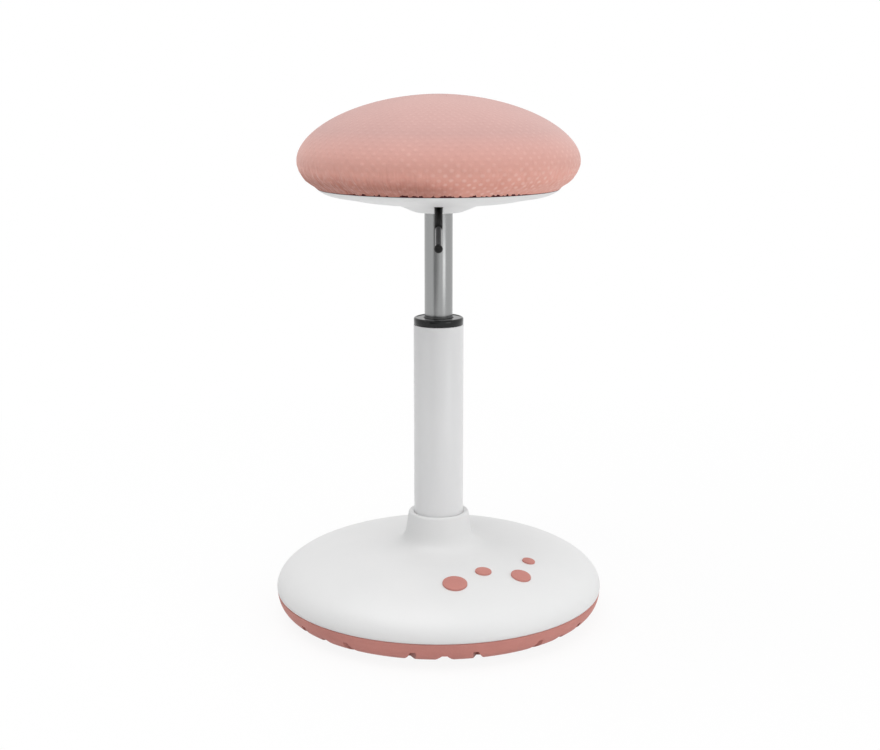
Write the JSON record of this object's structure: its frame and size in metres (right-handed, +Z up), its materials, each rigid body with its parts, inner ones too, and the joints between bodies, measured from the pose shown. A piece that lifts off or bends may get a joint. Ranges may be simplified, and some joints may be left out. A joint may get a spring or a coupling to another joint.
{
  "type": "wobble stool",
  "caption": "Height-adjustable wobble stool: padded round swivel seat on a gas-lift column, weighted domed base with a rocking rubber sole, release lever.",
  "frame": {"origin": "on the floor, where the column's axis meets it", "axes": "+Z up along the column, -Y towards the release lever at the front, +X to the right seen from the front"},
  "size_m": [0.3332, 0.3332, 0.5254],
  "materials": {
    "pink_rubber": "satin moulded rubber",
    "pink_fabric": "knitted spacer mesh",
    "white_plastic": "satin moulding",
    "white_enamel": "white powder coat",
    "black_plastic": "gloss moulding",
    "black_rubber": "matt rubber",
    "bright_steel": "ground and polished",
    "zinc_steel": "zinc plated",
    "cast_iron": "painted casting",
    "plywood": "birch plywood",
    "foam": "moulded foam"
  },
  "bodies": {
    "base": {"sole": "pink_rubber", "base_shell": "white_plastic", "ballast_plate": "cast_iron", "column_socket": "zinc_steel", "column_tube": "white_enamel", "column_end_plate": "zinc_steel", "thrust_washer_lower": "zinc_steel", "guide_bush": "black_plastic", "base_screw_1": "zinc_steel", "base_screw_2": "zinc_steel", "base_screw_3": "zinc_steel", "base_screw_4": "zinc_steel", "base_screw_5": "zinc_steel", "base_screw_6": "zinc_steel", "socket_bolt_1": "zinc_steel", "socket_bolt_2": "zinc_steel", "socket_bolt_3": "zinc_steel", "socket_bolt_4": "zinc_steel", "mark_dot_1": "pink_rubber", "mark_dot_2": "pink_rubber", "mark_dot_3": "pink_rubber", "mark_dot_4": "pink_rubber"},
    "cage": {"bearing_cage": "black_plastic", "bearing_ball_1": "bright_steel", "bearing_ball_2": "bright_steel", "bearing_ball_3": "bright_steel", "bearing_ball_4": "bright_steel", "bearing_ball_5": "bright_steel", "bearing_ball_6": "bright_steel", "bearing_ball_7": "bright_steel", "bearing_ball_8": "bright_steel"},
    "spindle": {"piston_rod": "bright_steel", "piston": "black_plastic", "thrust_washer_upper": "zinc_steel", "bump_stop": "black_rubber", "retaining_clip": "zinc_steel"},
    "seat": {"lift_cylinder": "bright_steel", "rod_guide": "black_plastic", "mount_plate": "zinc_steel", "seat_shell": "white_plastic", "seat_board": "plywood", "seat_foam": "foam", "seat_cover": "pink_fabric", "lever_pin": "bright_steel", "mount_screw_1": "zinc_steel", "mount_screw_2": "zinc_steel", "mount_screw_3": "zinc_steel", "mount_screw_4": "zinc_steel", "shell_screw_1": "zinc_steel", "shell_screw_2": "zinc_steel", "shell_screw_3": "zinc_steel", "shell_screw_4": "zinc_steel"},
    "lever": {"lever_rod": "bright_steel", "lever_sleeve": "black_plastic", "lever_ball": "black_plastic"},
    "valve": {"valve_pin": "bright_steel"}
  },
  "joints": [
    {"name": "seat_swivel", "type": "hinge", "parent": "base", "child": "spindle", "pos_m": [0, 0, 0.053], "axis": [0, 0, 1], "continuous": true},
    {"name": "bearing_roll", "type": "hinge", "parent": "base", "child": "cage", "pos_m": [0, 0, 0.0477], "axis": [0, 0, 1], "continuous": true},
    {"name": "height_lift", "type": "slide", "parent": "spindle", "child": "seat", "axis": [0, 0, 1], "range_m": [-0.1, 0]},
    {"name": "lever_pull", "type": "hinge", "parent": "seat", "child": "lever", "pos_m": [0, -0.022, 0.4316], "axis": [-1, 0, 0], "range_deg": [0, 7], "stiffness_Nm_per_rad": 2, "springref_deg": -8.59},
    {"name": "valve_press", "type": "slide", "parent": "seat", "child": "valve", "axis": [0, 0, -1], "range_m": [0, 0.003]}
  ],
  "couplings": [
    {"joint": "bearing_roll", "follows": "seat_swivel", "ratio": 0.5},
    {"joint": "valve_press", "follows": "lever_pull", "m_per_rad": 0.0234}
  ]
}
